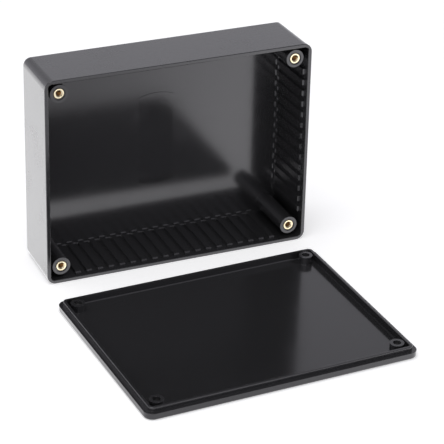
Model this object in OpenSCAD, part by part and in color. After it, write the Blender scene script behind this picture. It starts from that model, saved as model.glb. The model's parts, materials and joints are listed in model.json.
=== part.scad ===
/* [Box] */
// Length of the long sides, measured at the rim
box_length = 121; // [100:1:200]
// Length of the short sides, measured at the rim
box_width = 94; // [75:1:160]
// Depth of the tray, from its rim to its outer back
tray_depth = 30; // [20:1:60]
// Radius of the four outer corners at the rim
corner_r = 4; // [3.5:0.25:6]
// Radius of the outer edge round the back of the tray
back_edge_r = 2; // [1:0.25:2.5]
// Draft of the tray's walls, in degrees
draft = 1; // [0.5:0.25:2]
// Radius that breaks the edges of the rim
rim_edge_r = 0.3; // [0.1:0.05:0.5]

/* [Walls] */
// Thickness of the tray's side walls
side_wall = 1.65; // [1.2:0.05:2.5]
// Thickness of the tray's back wall
back_wall = 2.2; // [1.5:0.1:4]
// Radius of the cavity's corners at the rim
cavity_corner_r = 1.6; // [1.5:0.1:3]
// Fillet between the side walls and the back wall, inside
cavity_fillet = 0.8; // [0.3:0.1:0.9]

/* [Card guides] */
// Distance from one guide land to the next
guide_pitch = 5.08; // [3.5:0.01:10]
// Width of each land between two guide slots
land_width = 2.4; // [1.5:0.1:3.4]
// Height of the lands above the wall
land_height = 1.1; // [0.6:0.1:1.8]
// Distance from the rim to the front ends of the lands
land_setback = 2.4; // [2:0.1:6]
// Radius of the rounded front end of each land
land_nose_r = 0.8; // [0.3:0.1:1]
// Fillet at the foot of each land, where it meets the back wall
land_foot_r = 0.8; // [0.3:0.1:1.5]
// Least room between the end lands and the bosses
land_end_room = 1; // [0.5:0.1:3]

/* [Bosses] */
// Distance of the screw centres from the outer sides of the box
screw_inset = 7; // [6.8:0.1:10]
// Diameter of the bosses at their top
boss_d = 8; // [7:0.1:9]
// Draft of the bosses, in degrees
boss_draft = 0.4; // [0:0.1:0.8]
// Depth of the boss tops below the rim
boss_recess = 2; // [1:0.1:4]
// Depth of the screw's run below the insert
screw_run = 6; // [2:0.5:8]

/* [Inserts] */
// Diameter over the knurls of an insert
insert_d = 4.9; // [4.2:0.1:5.4]
// Length of an insert
insert_length = 6; // [4:0.5:8]
// Diameter of the insert's thread at its crests
thread_d = 2.5; // [2:0.05:3.2]
// Depth of the knurls
knurl_depth = 0.2; // [0.1:0.05:0.35]
// Length of each of an insert's two knurled bands
knurled_length = 2.4; // [1:0.1:3.5]
// Depth of the waist between the bands
waist_depth = 0.4; // [0.2:0.05:0.6]
// Number of knurls round an insert
knurls = 20; // [14:1:30]
// Depth of the insert's top below the boss top
insert_sink = 0.15; // [0:0.05:0.5]
// Chamfer at both ends of the thread
thread_chamfer = 0.3; // [0.1:0.05:0.5]
// Room left between the knurls and the boss
insert_gap = 0.05; // [0.02:0.01:0.1]
// Width of the open ring round the insert at the boss top
mouth_gap = 0.35; // [0.1:0.05:0.6]

/* [Inside panel] */
// Length of the bare panel on the inner face of the back wall
panel_length = 44; // [20:1:60]
// Width of the bare panel
panel_width = 16; // [8:1:30]
// Height of the panel above the wall
panel_height = 0.2; // [0.1:0.05:0.4]

/* [Lid] */
// Thickness of the lid's flange, which closes on the rim
flange_height = 3; // [2.5:0.1:5]
// Radius of the lid's outer bottom edge
lid_edge_r = 1; // [0.3:0.1:1.5]
// Thickness of the lid's plate inside the lip
plate = 1.5; // [1.2:0.1:2.4]
// Height of the lip above the flange
lip_height = 1.8; // [1:0.1:2]
// Thickness of the lip
lip_thickness = 1.2; // [0.8:0.1:1.6]
// Room between the lip and the tray's side wall
lip_gap = 0.15; // [0.05:0.05:0.3]
// Radius of the lip's outer corners
lip_corner_r = 2.2; // [2:0.1:3.5]
// Fillet at the foot of the lip, inside
lip_fillet = 0.5; // [0.2:0.1:0.8]
// Radius that breaks the lip's edges
lip_edge_r = 0.25; // [0.1:0.05:0.4]
// Diameter of the posts round the screw holes
post_d = 6; // [5.2:0.1:6.4]
// Diameter of the screw holes
screw_hole_d = 3.4; // [3:0.1:4]
// Diameter of the countersinks at the outer face
countersink_d = 6.4; // [5:0.1:6.6]

/* [Where the lid lies] */
// Distance from the front of the standing tray to the middle of the lid
lid_forward = 64.4; // [60:0.1:120]
// Sideways shift of the lid from the tray's middle, to the left
lid_left = 1.5; // [0:0.1:10]
// Turn of the lid on the surface, in degrees
lid_turn = 2.2; // [0:0.1:8]

/* [Hidden] */
$fn = 64;

plastic = [0.06, 0.06, 0.065];
brass = [0.83, 0.66, 0.32];

over = 1;                       // how far a cut runs past the face that it opens
sink = 0.4;                     // how far an added form runs into the wall that carries it
inner_depth = tray_depth - back_wall;
boss_x = box_length / 2 - screw_inset;
boss_y = box_width / 2 - screw_inset;
pocket_r = insert_d / 2 + insert_gap;
pocket_depth = insert_length + insert_sink;
standing_length = tray_depth / cos(draft);
lip_inset = side_wall + lip_gap;
lip_top = flange_height + lip_height;
recess_inset = lip_inset + lip_thickness;
recess_corner_r = lip_corner_r - lip_thickness;
post_top = flange_height + boss_recess;
countersink_depth = (countersink_d - screw_hole_d) / 2;

// The tray and the lid are both drawn as they are moulded, on their backs. The
// tray's rim lies in the plane z = 0 and its back below it; the lid's outer face
// lies in the plane z = 0 and its lip points up.

// How far out the centre of a rounding of radius f lies, at height z, when it
// touches the inside of a drafted face that is r out at z = 0.
function inside_face(r, z, f) = r + z * tan(draft) - f / cos(draft);

// A form with rounded corners: the half section given as its child, drawn from
// the axis of a corner outwards, is carried round a rectangle of size x by y.
module carried_round(x, y, r, low, high) {
    half_x = x / 2 - r;
    half_y = y / 2 - r;
    translate([-half_x, -half_y, low]) cube([2 * half_x, 2 * half_y, high - low]);
    for (turn = [0:3]) {
        across = turn % 2 == 0 ? half_x : half_y;
        along = turn % 2 == 0 ? half_y : half_x;
        rotate(90 * turn) translate([across, along, 0]) {
            rotate_extrude(angle = 90) children();
            rotate([90, 0, 0]) linear_extrude(2 * along) children();
        }
    }
}

// Sets its child at the four screw centres.
module at_screws() {
    for (side = [-1, 1], end = [-1, 1]) {
        translate([side * boss_x, end * boss_y, 0]) children();
    }
}

// The sliver between a square corner at the origin and its rounding of radius r.
module corner_sliver(r) {
    difference() {
        square(r);
        translate([r, r]) circle(r);
    }
}

// Half section of a drafted block that is r out at z = 0 and depth deep, with a
// rounded foot and a rounded shoulder.
module drafted_section(r, depth, foot_r, shoulder_r) {
    foot = [inside_face(r, foot_r - depth, foot_r), foot_r - depth];
    shoulder = [inside_face(r, -shoulder_r, shoulder_r), -shoulder_r];
    outwards = [cos(draft), -sin(draft)];
    intersection() {
        translate([0, -depth]) square([r, depth]);
        union() {
            polygon([
                [0, 0],
                [shoulder.x, 0],
                shoulder + shoulder_r * outwards,
                foot + foot_r * outwards,
                [foot.x, -depth],
                [0, -depth]
            ]);
            translate(shoulder) circle(shoulder_r);
            translate(foot) circle(foot_r);
        }
    }
}

// Half section of what is hollow: the cavity with its foot fillet, the rounding
// of the rim's inner edge, and the open space above the rim.
module cavity_section() {
    r = cavity_corner_r;
    foot = [inside_face(r, cavity_fillet - inner_depth, cavity_fillet), cavity_fillet - inner_depth];
    lip = [r - rim_edge_r * tan(draft) + rim_edge_r / cos(draft), -rim_edge_r];
    outwards = [cos(draft), -sin(draft)];
    difference() {
        union() {
            polygon([
                [0, over],
                [lip.x, over],
                [lip.x, 0],
                lip - rim_edge_r * outwards,
                foot + cavity_fillet * outwards,
                [foot.x, -inner_depth],
                [0, -inner_depth]
            ]);
            intersection() {
                translate(foot) circle(cavity_fillet);
                translate([0, -inner_depth]) square([r, cavity_fillet]);
            }
        }
        translate(lip) circle(rim_edge_r);
    }
}

// Side view of one guide land on a wall whose inner face is reach out at z = 0:
// a rounded nose towards the rim, a drafted top and a filleted foot.
module land_section(reach) {
    top = reach - land_height;
    nose = [top - (land_setback + land_nose_r) * tan(draft) + land_nose_r / cos(draft),
            -land_setback - land_nose_r];
    foot = [inside_face(top, land_foot_r - inner_depth, land_foot_r), land_foot_r - inner_depth];
    outwards = [cos(draft), -sin(draft)];
    difference() {
        union() {
            polygon([
                [reach, -land_setback],
                [nose.x, -land_setback],
                nose - land_nose_r * outwards,
                foot + land_foot_r * outwards,
                [foot.x, -inner_depth],
                [foot.x, -inner_depth - sink],
                [reach, -inner_depth - sink]
            ]);
            translate(nose) circle(land_nose_r);
        }
        translate(foot) circle(land_foot_r);
    }
}

// The lands along one wall, as many as fit in the room between the bosses, centred.
module lands(reach, room) {
    count = floor((room - land_width) / guide_pitch) + 1;
    start = -(count - 1) * guide_pitch / 2;
    for (i = [0:count - 1]) {
        translate([0, start + i * guide_pitch + land_width / 2, 0])
            rotate([90, 0, 0])
                linear_extrude(land_width) land_section(reach);
    }
}

module card_guides() {
    for (turn = [0:3]) {
        long_way = turn % 2 == 1;
        reach = (long_way ? box_width : box_length) / 2 - side_wall;
        room = 2 * ((long_way ? boss_x : boss_y) - boss_d / 2 - land_end_room);
        rotate(90 * turn) lands(reach, room);
    }
}

// One boss, from the back wall to just below the rim.
module boss() {
    length = inner_depth - boss_recess + sink;
    translate([0, 0, -inner_depth - sink])
        cylinder(h = length, d1 = boss_d + 2 * length * tan(boss_draft), d2 = boss_d);
}

// The pocket of an insert, open round the insert's top, and the screw's run.
module boss_hole() {
    translate([0, 0, -boss_recess - pocket_depth]) cylinder(h = pocket_depth + over, r = pocket_r);
    translate([0, 0, -boss_recess - mouth_gap]) cylinder(h = mouth_gap + over, r = pocket_r + mouth_gap);
    translate([0, 0, -boss_recess - pocket_depth - screw_run])
        cylinder(h = screw_run + over, d = screw_hole_d);
}

// The bare panel inside the back wall, its ends arched.
module panel() {
    translate([0, 0, -inner_depth - sink])
        linear_extrude(sink + panel_height)
            intersection() {
                circle(d = panel_length);
                square([panel_width, panel_length], center = true);
            }
}

module moulded_tray() {
    difference() {
        union() {
            difference() {
                carried_round(box_length, box_width, corner_r, -tray_depth, 0)
                    drafted_section(corner_r, tray_depth, back_edge_r, rim_edge_r);
                carried_round(box_length - 2 * side_wall, box_width - 2 * side_wall,
                              cavity_corner_r, -inner_depth, over)
                    cavity_section();
            }
            card_guides();
            at_screws() boss();
            panel();
        }
        at_screws() boss_hole();
    }
}

// One knurled band of an insert.
module knurled_band(height) {
    tip_r = insert_d / 2;
    linear_extrude(height)
        polygon([
            for (i = [0:2 * knurls - 1])
                let (a = 180 * i / knurls, r = i % 2 == 0 ? tip_r : tip_r - knurl_depth)
                    r * [cos(a), sin(a)]
        ]);
}

// The chamfer at one end of the thread.
module thread_mouth() {
    cylinder(h = thread_chamfer, d1 = thread_d + 2 * thread_chamfer, d2 = thread_d);
}

// A threaded insert, its top just below the boss top and its foot on the pocket's
// floor: two knurled bands, a waist between them, and a chamfered bore.
module threaded_insert(side, end) {
    color(brass) stand_on_side() translate([side * boss_x, end * boss_y, -boss_recess - pocket_depth])
        difference() {
            union() {
                cylinder(h = insert_length, r = insert_d / 2 - waist_depth);
                knurled_band(knurled_length);
                translate([0, 0, insert_length - knurled_length]) knurled_band(knurled_length);
            }
            translate([0, 0, -over]) cylinder(h = insert_length + 2 * over, d = thread_d);
            thread_mouth();
            translate([0, 0, insert_length]) mirror([0, 0, 1]) thread_mouth();
        }
}

// The outer half section of the lid's flange, its bottom edge rounded.
module flange_section() {
    difference() {
        square([corner_r, flange_height]);
        translate([corner_r, 0]) mirror([1, 0]) corner_sliver(lid_edge_r);
    }
}

// The half section of the lip, its top outer edge broken.
module lip_section() {
    difference() {
        square([lip_corner_r, lip_top]);
        translate([lip_corner_r, lip_top]) mirror([1, 0]) mirror([0, 1]) corner_sliver(lip_edge_r);
    }
}

// The half section of the lid's recess, filleted at its foot.
module recess_section() {
    difference() {
        translate([0, plate]) square([recess_corner_r, lip_top - plate + over]);
        translate([recess_corner_r, plate]) mirror([1, 0]) corner_sliver(lip_fillet);
    }
}

module moulded_lid() {
    difference() {
        union() {
            difference() {
                union() {
                    carried_round(box_length, box_width, corner_r, 0, flange_height)
                        flange_section();
                    carried_round(box_length - 2 * lip_inset, box_width - 2 * lip_inset,
                                  lip_corner_r, 0, lip_top)
                        lip_section();
                }
                carried_round(box_length - 2 * recess_inset, box_width - 2 * recess_inset,
                              recess_corner_r, plate, lip_top + over)
                    recess_section();
            }
            at_screws() cylinder(h = post_top, d = post_d);
        }
        at_screws() {
            translate([0, 0, -over]) cylinder(h = post_top + 2 * over, d = screw_hole_d);
            cylinder(h = countersink_depth, d1 = countersink_d, d2 = screw_hole_d);
        }
    }
}

// Stands the tray on its lower long wall, with the middle of that drafted wall at
// the origin: the draft leans the rim back.
module stand_on_side() {
    translate([0, box_width / 2 * sin(draft) - standing_length / 2, box_width / 2 * cos(draft)])
        rotate([90 - draft, 0, 0]) children();
}

module tray() {
    color(plastic) stand_on_side() moulded_tray();
}

module lid() {
    color(plastic)
        translate([-lid_left, -standing_length / 2 - lid_forward, 0])
            rotate(lid_turn) moulded_lid();
}

tray();
lid();
threaded_insert(-1, 1);  // insert_top_left
threaded_insert(1, 1);  // insert_top_right
threaded_insert(-1, -1);  // insert_bottom_left
threaded_insert(1, -1);  // insert_bottom_right
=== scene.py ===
"""Dresses a moulded plastic project box: glossy black tray and lid, brass threaded inserts.

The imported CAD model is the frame. The tray and the lid keep their CAD meshes and get a moulded
plastic finish; each threaded insert is modelled again with its knurls and its real thread.
"""
import json
import logging
import math
from dataclasses import dataclass
from enum import Enum
from typing import Any, Callable

import bmesh
import bpy
from mathutils import Matrix, Vector


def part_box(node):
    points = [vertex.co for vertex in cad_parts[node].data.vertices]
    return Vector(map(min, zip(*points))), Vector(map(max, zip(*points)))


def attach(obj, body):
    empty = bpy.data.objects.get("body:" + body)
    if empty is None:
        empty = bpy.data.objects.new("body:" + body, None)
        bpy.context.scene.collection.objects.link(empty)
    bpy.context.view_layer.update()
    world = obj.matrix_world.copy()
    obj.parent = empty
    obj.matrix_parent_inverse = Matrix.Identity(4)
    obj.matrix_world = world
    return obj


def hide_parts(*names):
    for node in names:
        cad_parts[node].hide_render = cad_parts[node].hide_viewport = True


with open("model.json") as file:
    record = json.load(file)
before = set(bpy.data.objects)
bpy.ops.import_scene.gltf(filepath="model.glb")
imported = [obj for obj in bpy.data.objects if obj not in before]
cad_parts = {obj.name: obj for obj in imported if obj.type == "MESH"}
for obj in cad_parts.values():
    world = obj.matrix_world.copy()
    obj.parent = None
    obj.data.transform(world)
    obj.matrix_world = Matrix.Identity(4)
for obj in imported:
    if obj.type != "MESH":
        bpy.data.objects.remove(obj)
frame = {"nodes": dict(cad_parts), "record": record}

LOG = logging.getLogger("project_box")
MM = 0.001
BODY = "root"
Colour = tuple[float, float, float]


class Corner(Enum):
    """The corners that hold an insert, each with how far its insert is turned when pressed in."""

    TOP_LEFT = ("top_left", 0.1)
    TOP_RIGHT = ("top_right", 1.3)
    BOTTOM_LEFT = ("bottom_left", 2.2)
    BOTTOM_RIGHT = ("bottom_right", 4.0)

    def __init__(self, place: str, spin: float) -> None:
        """Names the corner and turns its insert.

        Args:
            place: The corner's name, as the CAD nodes and mounts have it.
            spin: The insert's turn about its own axis, in radians.
        """
        self.place = place
        self.spin = spin


class NodeSheet:
    """Adds and joins the nodes of one material, or of the world."""

    def __init__(self, tree: bpy.types.NodeTree) -> None:
        """Empties the tree.

        Args:
            tree: The node tree to fill.
        """
        self.tree = tree
        tree.nodes.clear()

    def add(self, kind: str, inputs: dict[Any, Any] | None = None, **settings: Any) -> bpy.types.Node:
        """Adds a node, sets it up and feeds its sockets.

        Args:
            kind: The node's type without its "ShaderNode" prefix.
            inputs: Values or output sockets, by the name or number of the input.
            **settings: The node's own settings.

        Returns:
            The new node.
        """
        node = self.tree.nodes.new("ShaderNode" + kind)
        for name, value in settings.items():
            setattr(node, name, value)
        for key, value in (inputs or {}).items():
            self.feed(node.inputs[key], value)
        return node

    def feed(self, socket: bpy.types.NodeSocket, value: Any) -> None:
        """Links an output to a socket, or sets the socket to a plain value.

        Args:
            socket: The input socket.
            value: An output socket, a number or a tuple of numbers.
        """
        if isinstance(value, bpy.types.NodeSocket):
            self.tree.links.new(value, socket)
        else:
            socket.default_value = value

    def maths(self, operation: str, *terms: Any) -> bpy.types.NodeSocket:
        """Works one Math node on its terms and returns the result."""
        return self.add("Math", dict(enumerate(terms)), operation=operation).outputs[0]

    def ramp(self, value: Any, low: float, high: float, to_low: float = 0.0,
             to_high: float = 1.0) -> bpy.types.NodeSocket:
        """Maps a value smoothly from one range to another and clamps it.

        Args:
            value: The socket to map.
            low: Where the input range starts.
            high: Where the input range ends.
            to_low: The output at and below low.
            to_high: The output at and above high.

        Returns:
            The mapped value.
        """
        node = self.add("MapRange", {0: value, 1: low, 2: high, 3: to_low, 4: to_high},
                        interpolation_type="SMOOTHSTEP")
        return node.outputs[0]

    def blend(self, share: Any, first: Colour, second: Any) -> bpy.types.NodeSocket:
        """Blends two colours by a share.

        Args:
            share: 0 for the first colour and 1 for the second.
            first: The first colour.
            second: The second colour, or the socket of one.

        Returns:
            The blended colour.
        """
        if not isinstance(second, bpy.types.NodeSocket):
            second = (*second, 1.0)
        return self.add("Mix", {0: share, 6: (*first, 1.0), 7: second}, data_type="RGBA").outputs[2]

    def noise(self, place: Any, size: float, detail: float = 2.0,
              rough: float = 0.5) -> bpy.types.NodeSocket:
        """Makes a noise.

        Args:
            place: The point on the surface.
            size: How wide its features are, in metres.
            detail: How many finer layers it has.
            rough: How strong the finer layers are.

        Returns:
            The noise, mostly between 0 and 1.
        """
        inputs = {"Vector": place, "Scale": 1 / size, "Detail": detail, "Roughness": rough}
        return self.add("TexNoise", inputs).outputs[0]

    def bump(self, height: Any, depth: float, onto: Any = None) -> bpy.types.NodeSocket:
        """Raises the surface by height times depth metres.

        Args:
            height: The height socket, from 0 to 1.
            depth: How deep the relief is, in metres.
            onto: A normal from an earlier bump, or None.

        Returns:
            The new normal.
        """
        inputs = {"Height": height, "Distance": depth, "Strength": 1.0}
        if onto is not None:
            inputs["Normal"] = onto
        return self.add("Bump", inputs).outputs[0]

    def moved(self, place: Any, centre: Vector) -> bpy.types.NodeSocket:
        """Returns the point as it is seen from a centre."""
        return self.add("Mapping", {"Vector": place, "Location": -centre}).outputs[0]


def new_material(name: str) -> tuple[bpy.types.Material, NodeSheet]:
    """Makes an empty material.

    Args:
        name: The material's name.

    Returns:
        The material and the sheet for its nodes.
    """
    material = bpy.data.materials.new(name)
    material.use_nodes = True
    return material, NodeSheet(material.node_tree)


def deselect_all() -> None:
    """Leaves edit mode and clears the selection."""
    if bpy.context.object is not None and bpy.context.object.mode != "OBJECT":
        bpy.ops.object.mode_set(mode="OBJECT")
    bpy.ops.object.select_all(action="DESELECT")


def select_only(piece: bpy.types.Object, *others: bpy.types.Object) -> None:
    """Selects pieces and nothing else.

    Args:
        piece: The piece that becomes the active one.
        *others: Pieces that are selected with it.
    """
    deselect_all()
    for chosen in (piece, *others):
        chosen.select_set(True)
    bpy.context.view_layer.objects.active = piece


def select_vertices(piece: bpy.types.Object, wanted: Callable[[Vector], bool]) -> None:
    """Selects the vertices of the piece in edit mode that a test picks by their place.

    Args:
        piece: The piece whose mesh is being edited.
        wanted: The test of a vertex's place.
    """
    mesh = bmesh.from_edit_mesh(piece.data)
    for vertex in mesh.verts:
        vertex.select_set(wanted(vertex.co))
    mesh.select_flush_mode()
    bmesh.update_edit_mesh(piece.data)


@dataclass(frozen=True)
class Hollow:
    """The room of a moulding that the polished half of the mould filled."""

    low: Vector
    high: Vector
    turn: float = 0.0
    blur: float = 0.2 * MM

    def share(self, sheet: NodeSheet, place: bpy.types.NodeSocket) -> bpy.types.NodeSocket:
        """Tells the hollow from the outside.

        Args:
            sheet: The material's nodes.
            place: The point on the surface.

        Returns:
            1 in the hollow and 0 outside it.
        """
        half = (self.high - self.low) / 2
        local = sheet.moved(place, (self.low + self.high) / 2)
        turned = sheet.add("VectorRotate", {"Vector": local, "Angle": -self.turn},
                           rotation_type="Z_AXIS").outputs[0]
        axes = sheet.add("SeparateXYZ", {0: turned}).outputs
        depths = [sheet.maths("SUBTRACT", extent, sheet.maths("ABSOLUTE", axis))
                  for axis, extent in zip(axes, half)]
        inside = sheet.maths("MINIMUM", sheet.maths("MINIMUM", depths[0], depths[1]), depths[2])
        return sheet.ramp(inside, -self.blur, self.blur)


@dataclass(frozen=True)
class Panel:
    """The bare panel on the back wall: straight sides, and arcs of one circle as its ends."""

    centre: Vector
    half_width: float = 8.0 * MM
    radius: float = 22.0 * MM

    def share(self, sheet: NodeSheet, place: bpy.types.NodeSocket) -> bpy.types.NodeSocket:
        """Tells the panel from the wall round it.

        Args:
            sheet: The material's nodes.
            place: The point on the surface.

        Returns:
            1 on the panel and 0 elsewhere.
        """
        local = sheet.moved(place, self.centre)
        across = sheet.add("SeparateXYZ", {0: local}).outputs[0]
        reach = sheet.add("VectorMath", {0: local}, operation="LENGTH").outputs["Value"]
        sides = sheet.maths("LESS_THAN", sheet.maths("ABSOLUTE", across), self.half_width)
        ends = sheet.maths("LESS_THAN", reach, self.radius)
        return sheet.maths("MULTIPLY", sides, ends)


@dataclass(frozen=True)
class MouldedPlastic:
    """Black ABS as it leaves the mould: polished inside, satin outside, a little handled."""

    name: str
    hollow: Hollow
    panel: Panel | None = None
    colour: Colour = (0.019, 0.019, 0.020)
    worn_colour: Colour = (0.05, 0.05, 0.052)
    tint: Colour = (0.95, 0.93, 1.0)
    ior: float = 1.53
    gloss: float = 0.75
    gloss_roughness: float = 0.12
    polished_roughness: float = 0.155
    satin_roughness: float = 0.24
    panel_roughness: float = -0.05
    smudge_roughness: float = 0.06
    hairline_roughness: float = 0.12
    wear_roughness: float = 0.15
    edge_radius: float = 0.22 * MM
    ripple_width: float = 9 * MM
    ripple_depth: float = 0.010 * MM
    grain_width: float = 0.16 * MM
    grain_depth: float = 0.004 * MM
    smudge_width: float = 14 * MM
    hairline_spacing: float = 0.5 * MM
    wear_width: float = 2.5 * MM
    wear_strength: float = 0.8

    def make(self) -> bpy.types.Material:
        """Makes the material.

        Returns:
            A material that reads the node's own coordinates.
        """
        material, sheet = new_material(self.name)
        place = sheet.add("TexCoord").outputs["Object"]
        satin = sheet.maths("SUBTRACT", 1.0, self.hollow.share(sheet, place))
        rounded = sheet.add("Bevel", {"Radius": self.edge_radius}, samples=4).outputs[0]
        wear = self._edge_wear(sheet, place, rounded)
        shader = sheet.add("BsdfPrincipled", {
            "Base Color": sheet.blend(wear, self.colour, self.worn_colour),
            "Roughness": self._roughness(sheet, place, satin, wear),
            "IOR": self.ior,
            "Specular Tint": (*self.tint, 1.0),
            "Coat Weight": self.gloss,
            "Coat Roughness": self.gloss_roughness,
            "Normal": self._relief(sheet, place, satin, rounded),
        })
        sheet.add("OutputMaterial", {"Surface": shader.outputs[0]})
        return material

    def _roughness(self, sheet: NodeSheet, place: bpy.types.NodeSocket, satin: bpy.types.NodeSocket,
                   wear: bpy.types.NodeSocket) -> bpy.types.NodeSocket:
        """Adds up what makes the surface duller or more polished.

        Args:
            sheet: The material's nodes.
            place: The point on the surface.
            satin: The share of the satin outside.
            wear: The share of wear.

        Returns:
            The roughness.
        """
        smudge = sheet.ramp(sheet.noise(place, self.smudge_width, 4.0, 0.6), 0.48, 0.75)
        hairs = sheet.maths("MULTIPLY", self._hairline_scratches(sheet, place), satin)
        layers = [
            (satin, self.satin_roughness - self.polished_roughness),
            (smudge, self.smudge_roughness),
            (hairs, self.hairline_roughness),
            (wear, self.wear_roughness),
        ]
        if self.panel is not None:
            layers.append((self.panel.share(sheet, place), self.panel_roughness))
        roughness = self.polished_roughness
        for share, amount in layers:
            roughness = sheet.maths("MULTIPLY_ADD", share, amount, roughness)
        return roughness

    def _relief(self, sheet: NodeSheet, place: bpy.types.NodeSocket, satin: bpy.types.NodeSocket,
                rounded: bpy.types.NodeSocket) -> bpy.types.NodeSocket:
        """Ripples the walls a little and grains the satin outside.

        Args:
            sheet: The material's nodes.
            place: The point on the surface.
            satin: The share of the satin outside.
            rounded: The normal with its edges rounded.

        Returns:
            The normal.
        """
        ripple = sheet.noise(place, self.ripple_width, 1.0)
        grain = sheet.noise(place, self.grain_width, 3.0, 0.6)
        rippled = sheet.bump(ripple, self.ripple_depth, rounded)
        return sheet.bump(sheet.maths("MULTIPLY", grain, satin), self.grain_depth, rippled)

    def _hairline_scratches(self, sheet: NodeSheet, place: bpy.types.NodeSocket) -> bpy.types.NodeSocket:
        """Draws the fine rubbing marks that a box picks up on its outside.

        Args:
            sheet: The material's nodes.
            place: The point on the surface.

        Returns:
            1 on a hairline and 0 between them.
        """
        slant = (0.3, 0.5, 0.7)
        stretch = (0.05, 1.0, 1.0)
        drawn_out = sheet.add("Mapping", {"Vector": place, "Rotation": slant, "Scale": stretch}).outputs[0]
        return sheet.ramp(sheet.noise(drawn_out, self.hairline_spacing, 2.0), 0.66, 0.72)

    def _edge_wear(self, sheet: NodeSheet, place: bpy.types.NodeSocket,
                   rounded: bpy.types.NodeSocket) -> bpy.types.NodeSocket:
        """Finds the edges, and wears them here and there.

        Args:
            sheet: The material's nodes.
            place: The point on the surface.
            rounded: The normal with its edges rounded.

        Returns:
            The share of wear, from 0 to 1.
        """
        flat = sheet.add("NewGeometry").outputs["Normal"]
        turned = sheet.add("VectorMath", {0: rounded, 1: flat}, operation="DOT_PRODUCT").outputs["Value"]
        edge = sheet.ramp(turned, 0.86, 0.99, 1.0, 0.0)
        patches = sheet.ramp(sheet.noise(place, self.wear_width, 3.0, 0.65), 0.5, 0.68)
        return sheet.maths("MULTIPLY", sheet.maths("MULTIPLY", edge, patches), self.wear_strength)


@dataclass(frozen=True)
class BrightBrass:
    """Turned and knurled brass in its own bright colour, with painted shade that darkens it down in the
    thread.
    """

    name: str = "bright_brass"
    colour: Colour = (0.93, 0.84, 0.62)
    stain_colour: Colour = (0.82, 0.68, 0.42)
    # Painted shade: the dark colour the brass takes deep in the bore, where little daylight reaches.
    bore_shade_colour: Colour = (0.16, 0.08, 0.025)
    bore_shade_map: str = "daylight"
    roughness: float = 0.22
    stain_width: float = 0.8 * MM
    mark_width: float = 0.12 * MM
    mark_depth: float = 0.004 * MM

    def make(self) -> bpy.types.Material:
        """Makes the material.

        Returns:
            A metal that reads the piece's own coordinates.
        """
        material, sheet = new_material(self.name)
        place = sheet.add("TexCoord").outputs["Object"]
        stain = sheet.ramp(sheet.noise(place, self.stain_width, 3.0), 0.4, 0.7)
        bright = sheet.blend(stain, self.colour, self.stain_colour)
        # Painted shade: the brass is blended towards a dark colour where little daylight reaches, deep in
        # the thread.
        daylight = sheet.add("Attribute", attribute_name=self.bore_shade_map).outputs["Fac"]
        shader = sheet.add("BsdfPrincipled", {
            "Base Color": sheet.blend(daylight, self.bore_shade_colour, bright),
            "Metallic": 1.0,
            "Roughness": self.roughness,
            "Normal": sheet.bump(sheet.noise(place, self.mark_width, 2.0), self.mark_depth),
        })
        sheet.add("OutputMaterial", {"Surface": shader.outputs[0]})
        return material


@dataclass
class Moulding:
    """A moulded part whose CAD mesh is right and only wants its finish."""

    node: str

    def hollow(self) -> Hollow:
        """Returns the room that was moulded against the polished half of the mould."""
        raise NotImplementedError

    def panel(self) -> Panel | None:
        """Returns the further polished panel, if the part has one."""
        return None

    def dress(self) -> None:
        """Gives the CAD node its plastic."""
        material = MouldedPlastic(f"{self.node}_plastic", self.hollow(), self.panel()).make()
        for slot in frame["nodes"][self.node].material_slots:
            slot.material = material
        LOG.info("%s dressed", self.node)


@dataclass
class Tray(Moulding):
    """The deep half of the box, which stands on a long wall with its hollow to the front."""

    node: str = "tray"
    wall: float = 1.2 * MM
    rim: float = 0.5 * MM
    back: float = 1.5 * MM
    panel_depth: float = 12.7 * MM
    panel_height: float = 47.0 * MM

    def hollow(self) -> Hollow:
        """Returns the room inside the walls, behind the rim."""
        low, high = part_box(self.node)
        return Hollow(low + Vector((self.wall, self.rim, self.wall)),
                      high - Vector((self.wall, self.back, self.wall)))

    def panel(self) -> Panel:
        """Returns the panel in the middle of the back wall."""
        return Panel(Vector((0, self.panel_depth, self.panel_height)))


@dataclass
class Lid(Moulding):
    """The shallow half of the box, which lies on the table with its inside up."""

    node: str = "lid"
    margin: float = 5 * MM
    recess_floor: float = 1.0 * MM
    lip_top: float = 4.0 * MM
    turn: float = math.radians(2.2)

    def hollow(self) -> Hollow:
        """Returns the room inside the lip."""
        low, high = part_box(self.node)
        return Hollow(Vector((low.x + self.margin, low.y + self.margin, self.recess_floor)),
                      Vector((high.x - self.margin, high.y - self.margin, self.lip_top)), self.turn)


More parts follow.
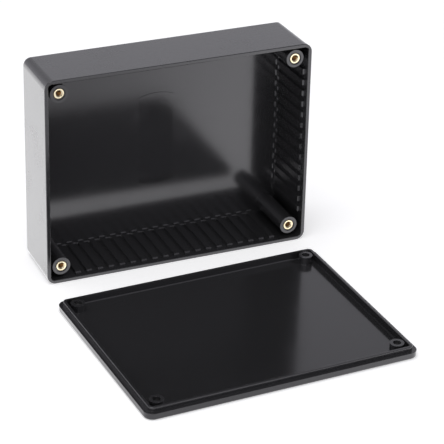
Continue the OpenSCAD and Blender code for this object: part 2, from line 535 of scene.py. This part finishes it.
@dataclass
class ThreadedInsert:
    """A knurled brass insert with an internal thread, modelled once and pressed into each post."""

    length: float = 6.0 * MM
    tip_radius: float = 2.45 * MM
    groove_radius: float = 2.15 * MM
    waist_radius: float = 2.05 * MM
    face_radius: float = 2.2 * MM
    band_length: float = 2.4 * MM
    band_lead: float = 0.2 * MM
    mouth_chamfer: float = 0.1 * MM
    edge_bevel: float = 0.03 * MM
    knurls: int = 16
    thread_root: float = 1.5 * MM
    thread_crest: float = 1.25 * MM
    thread_lead: float = 0.3 * MM
    thread_bury: float = 0.04 * MM
    pitch: float = 0.5 * MM
    steps_per_turn: int = 28
    daylight_depth: float = 1.2 * MM
    model: bpy.types.Object | None = None

    def rings(self) -> list[tuple[float, float]]:
        """Lists the rings of the body's skin.

        Returns:
            Radius and height of each ring, from the thread's foot round the outside to its mouth.
        """
        waist_length = self.length - 2 * self.band_length
        lower = [
            (self.thread_root, self.mouth_chamfer),
            (self.thread_root + self.mouth_chamfer, 0.0),
            (self.face_radius, 0.0),
            (self.tip_radius, self.band_lead),
            (self.tip_radius, self.band_length - self.band_lead),
            (self.face_radius, self.band_length),
            (self.waist_radius, self.band_length + waist_length / 6),
        ]
        return lower + [(radius, self.length - height) for radius, height in reversed(lower)]

    def _body(self) -> bpy.types.Object:
        """Models the knurled body as one closed skin.

        Returns:
            The body, its axis along Z and its foot at the origin.
        """
        rings = self.rings()
        radius, height = rings[0]
        deselect_all()
        bpy.ops.mesh.primitive_circle_add(vertices=2 * self.knurls, radius=radius, location=(0, 0, height))
        body = bpy.context.object
        bpy.ops.object.transform_apply(location=True)
        bpy.ops.object.mode_set(mode="EDIT")
        bpy.ops.mesh.select_mode(type="EDGE")
        bpy.ops.mesh.select_all(action="SELECT")
        for next_radius, next_height in [*rings[1:], rings[0]]:
            bpy.ops.mesh.extrude_edges_move(TRANSFORM_OT_translate={"value": (0, 0, next_height - height)})
            share = next_radius / radius
            bpy.ops.transform.resize(value=(share, share, 1), center_override=(0, 0, 0))
            radius, height = next_radius, next_height
        bpy.ops.mesh.select_all(action="SELECT")
        bpy.ops.mesh.remove_doubles(threshold=0.001 * MM)
        bpy.ops.mesh.normals_make_consistent(inside=False)
        bpy.ops.mesh.select_mode(type="VERT")
        select_vertices(body, self._in_groove)
        share = self.groove_radius / self.tip_radius
        bpy.ops.transform.resize(value=(share, share, 1), center_override=(0, 0, 0))
        bpy.ops.object.mode_set(mode="OBJECT")
        return body

    def _in_groove(self, place: Vector) -> bool:
        """Tells whether a point of the skin lies at the bottom of a knurl's groove."""
        step = round(math.atan2(place.y, place.x) / (math.pi / self.knurls))
        return math.hypot(place.x, place.y) > self.tip_radius - 0.01 * MM and step % 2 == 1

    def _soften(self, body: bpy.types.Object) -> None:
        """Bevels the body's sharp edges.

        Args:
            body: The knurled body.
        """
        select_only(body)
        bevel = body.modifiers.new("soft_edges", "BEVEL")
        bevel.width = self.edge_bevel
        bevel.segments = 2
        bevel.limit_method = "ANGLE"
        bevel.angle_limit = math.radians(25)
        bpy.ops.object.modifier_apply(modifier=bevel.name)

    def _thread(self) -> bpy.types.Object:
        """Models the ridge that winds up the bore.

        Returns:
            The ridge, closed at both ends.
        """
        turns = (self.length - 2 * self.thread_lead) / self.pitch
        depth = self.thread_root - self.thread_crest
        width = depth + self.thread_bury
        deselect_all()
        bpy.ops.mesh.primitive_plane_add(size=1, rotation=(math.pi / 2, 0, 0))
        ridge = bpy.context.object
        bpy.ops.object.transform_apply(rotation=True)
        bpy.ops.object.mode_set(mode="EDIT")
        bpy.ops.mesh.select_all(action="SELECT")
        bpy.ops.transform.resize(value=(width, 1, 0.9 * self.pitch))
        bpy.ops.transform.translate(value=(self.thread_crest + width / 2, 0, self.thread_lead))
        bpy.ops.mesh.delete(type="ONLY_FACE")
        bpy.ops.mesh.select_mode(type="VERT")
        select_vertices(ridge, lambda place: place.x < self.thread_root - depth / 2)
        bpy.ops.transform.resize(value=(1, 1, 0.2))
        bpy.ops.object.mode_set(mode="OBJECT")
        screw = ridge.modifiers.new("winding", "SCREW")
        screw.angle = math.tau * turns
        screw.screw_offset = self.pitch * turns
        screw.steps = screw.render_steps = round(self.steps_per_turn * turns)
        bpy.ops.object.modifier_apply(modifier=screw.name)
        bpy.ops.object.mode_set(mode="EDIT")
        bpy.ops.mesh.select_all(action="SELECT")
        bpy.ops.mesh.fill_holes(sides=0)
        bpy.ops.mesh.normals_make_consistent(inside=False)
        bpy.ops.object.mode_set(mode="OBJECT")
        return ridge

    def _mark_bore_shade(self, body: bpy.types.Object, name: str) -> None:
        """Writes how much daylight reaches each point, for the painted shade in the bore: 1 outside and at
        the mouths, 0 deep in the bore.

        Args:
            body: The insert, its middle at the origin.
            name: The attribute's name.
        """
        bore = self.thread_root + 0.05 * MM
        daylight = body.data.attributes.new(name, "FLOAT", "POINT")
        for vertex, mark in zip(body.data.vertices, daylight.data):
            inside = math.hypot(vertex.co.x, vertex.co.y) < bore
            depth = self.length / 2 - abs(vertex.co.z)
            mark.value = max(0.0, 1.0 - depth / self.daylight_depth) if inside else 1.0

    def make_model(self) -> None:
        """Models the insert that the others are copied from, its middle at the origin."""
        body = self._body()
        self._soften(body)
        select_only(body, self._thread())
        bpy.ops.object.join()
        body.location.z = -self.length / 2
        bpy.ops.object.transform_apply(location=True)
        bpy.ops.object.shade_smooth_by_angle(angle=math.radians(35))
        finish = BrightBrass()
        body.data.materials.append(finish.make())
        # Writes the map that drives the painted shade in the bore.
        self._mark_bore_shade(body, finish.bore_shade_map)
        self.model = body

    def press_in(self, corner: Corner, axis: Vector) -> None:
        """Sets a copy of the insert where its CAD solid stands.

        Args:
            corner: The corner that the insert is for.
            axis: The direction in which the insert faces.
        """
        node = f"insert_{corner.place}"
        piece = self.model.copy()
        piece.data = self.model.data.copy()
        piece.name = f"{node}_brass"
        bpy.context.scene.collection.objects.link(piece)
        low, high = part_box(node)
        turn = axis.to_track_quat("Z", "Y").to_matrix().to_4x4() @ Matrix.Rotation(corner.spin, 4, "Z")
        piece.matrix_world = Matrix.Translation((low + high) / 2) @ turn
        select_only(piece)
        bpy.ops.object.transform_apply(location=True, rotation=True, scale=True)
        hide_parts(node)
        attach(piece, BODY)
        LOG.info("%s built", piece.name)

    def remove_model(self) -> None:
        """Takes the model away once every corner has its copy."""
        bpy.data.objects.remove(self.model)
        self.model = None


@dataclass(frozen=True)
class Camera:
    """A long lens on the table's near left, looking down at the box."""

    target: Vector = Vector((8.6 * MM, -40.3 * MM, 30.4 * MM))
    distance: float = 0.9
    heading: float = math.radians(24.363)
    descent: float = math.radians(27.937)
    roll: float = math.radians(1.872)
    lens: float = 172.9
    film_width: float = 36.0

    def place(self) -> None:
        """Sets the camera up and makes it the scene's own."""
        forward = Vector((math.sin(self.heading) * math.cos(self.descent),
                          math.cos(self.heading) * math.cos(self.descent),
                          -math.sin(self.descent)))
        level = Vector((math.cos(self.heading), -math.sin(self.heading), 0))
        upright = level.cross(forward)
        across = level * math.cos(self.roll) + upright * math.sin(self.roll)
        up = upright * math.cos(self.roll) - level * math.sin(self.roll)
        data = bpy.data.cameras.new("camera")
        data.lens = self.lens
        data.sensor_width = self.film_width
        data.clip_start = 0.05
        data.clip_end = 20
        camera = bpy.data.objects.new("camera", data)
        turn = Matrix((across, up, -forward)).transposed().to_4x4()
        camera.matrix_world = Matrix.Translation(self.target - forward * self.distance) @ turn
        bpy.context.scene.collection.objects.link(camera)
        bpy.context.scene.camera = camera


@dataclass(frozen=True)
class PaleTable:
    """The pale table top, which glows white to the camera and in what the box mirrors.

    What the box mirrors of it carries a painted shadow: it is dimmer near one spot at the front left.
    """

    size: float = 8.0
    drop: float = 0.02 * MM
    colour: Colour = (0.86, 0.86, 0.86)
    seen_glow: float = 0.45
    mirrored_glow: float = 1.0
    # Painted shadow: how dim the mirrored glow gets at one spot, where it centres and how far it reaches.
    painted_shadow_glow: float = 0.25
    painted_shadow_spot: Vector = Vector((-0.06, -0.22, 0))
    painted_shadow_radius: float = 0.09
    painted_shadow_fade_radius: float = 0.2

    def lay(self) -> None:
        """Lays the table top under the box."""
        deselect_all()
        bpy.ops.mesh.primitive_plane_add(size=self.size, location=(0, 0, -self.drop))
        table = bpy.context.object
        table.name = "table_top"
        bpy.ops.object.transform_apply(location=True)
        table.data.materials.append(self._white())

    def _white(self) -> bpy.types.Material:
        """Makes the table's white.

        Returns:
            The material.
        """
        material, sheet = new_material("table_white")
        rays = sheet.add("LightPath").outputs
        mirrored = sheet.maths("MAXIMUM", rays["Is Glossy Ray"], rays["Is Transmission Ray"])
        place = sheet.add("TexCoord").outputs["Object"]
        # Painted shadow: to mirrored rays the table's glow fades down near one spot at the front left.
        away = sheet.add("VectorMath", {0: place, 1: self.painted_shadow_spot}, operation="DISTANCE").outputs["Value"]
        shadowed_glow = sheet.ramp(away, self.painted_shadow_radius, self.painted_shadow_fade_radius, self.painted_shadow_glow, self.mirrored_glow)
        strength = sheet.maths("ADD", sheet.maths("MULTIPLY", rays["Is Camera Ray"], self.seen_glow),
                               sheet.maths("MULTIPLY", mirrored, shadowed_glow))
        paper = sheet.add("BsdfDiffuse", {"Color": (*self.colour, 1.0)})
        glow = sheet.add("Emission", {"Color": (1, 1, 1, 1), "Strength": strength})
        both = sheet.add("AddShader", {0: paper.outputs[0], 1: glow.outputs[0]})
        sheet.add("OutputMaterial", {"Surface": both.outputs[0]})
        return material


@dataclass(frozen=True)
class Softbox:
    """A large soft lamp."""

    name: str
    place: Vector
    width: float
    height: float
    power: float

    def hang(self, target: Vector) -> None:
        """Hangs the lamp so that it faces a point.

        Args:
            target: The point that it faces.
        """
        data = bpy.data.lights.new(self.name, "AREA")
        data.shape = "RECTANGLE"
        data.size = self.width
        data.size_y = self.height
        data.energy = self.power
        lamp = bpy.data.objects.new(self.name, data)
        lamp.location = self.place
        lamp.rotation_mode = "QUATERNION"
        lamp.rotation_quaternion = (target - self.place).to_track_quat("-Z", "Y")
        bpy.context.scene.collection.objects.link(lamp)


@dataclass(frozen=True)
class Room:
    """The light of the room itself: brighter low down, dimmer overhead and a little in front."""

    colour: Colour = (0.985, 0.975, 1.04)
    low_light: float = 0.75
    overhead_light: float = 0.35
    front_share: float = 0.9

    def light(self) -> None:
        """Makes the room's light the scene's world."""
        world = bpy.data.worlds.new("room")
        bpy.context.scene.world = world
        world.use_nodes = True
        sheet = NodeSheet(world.node_tree)
        ray = sheet.add("LightPath").outputs["Is Camera Ray"]
        axes = sheet.add("SeparateXYZ", {0: sheet.add("TexCoord").outputs["Generated"]}).outputs
        wall = sheet.maths("MULTIPLY", sheet.ramp(axes[2], 0.1, 0.7, self.low_light, self.overhead_light),
                           sheet.ramp(axes[1], -0.35, 0.35, self.front_share, 1.0))
        strength = sheet.maths("MAXIMUM", ray, wall)
        glow = sheet.add("Background", {"Color": (*self.colour, 1.0), "Strength": strength})
        sheet.add("OutputWorld", {"Surface": glow.outputs[0]})


@dataclass(frozen=True)
class Studio:
    """A plain pale table, soft lamps and the camera."""

    camera: Camera = Camera()
    table: PaleTable = PaleTable()
    room: Room = Room()
    softboxes: tuple[Softbox, ...] = (
        Softbox("overhead", Vector((-0.25, -0.15, 1.1)), 0.9, 0.7, 5.5),
        Softbox("front_fill", Vector((-0.75, -1.15, 0.5)), 1.2, 0.9, 2.0),
    )

    def build(self) -> None:
        """Sets the whole studio up."""
        self.camera.place()
        self.table.lay()
        for softbox in self.softboxes:
            softbox.hang(self.camera.target)
        self.room.light()
        bpy.context.scene.view_settings.view_transform = "Standard"


def main() -> None:
    """Builds and dresses the box, piece by piece."""
    logging.basicConfig(level=logging.INFO)
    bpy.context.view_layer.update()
    Studio().build()
    for moulding in (Tray(), Lid()):
        moulding.dress()
    axes = {mount["name"]: Vector(mount["axis"]) for mount in frame["record"]["mounts"]}
    insert = ThreadedInsert()
    insert.make_model()
    for corner in Corner:
        insert.press_in(corner, axes[f"insert_thread_{corner.place}"])
    insert.remove_model()


if __name__ == "__main__":
    main()
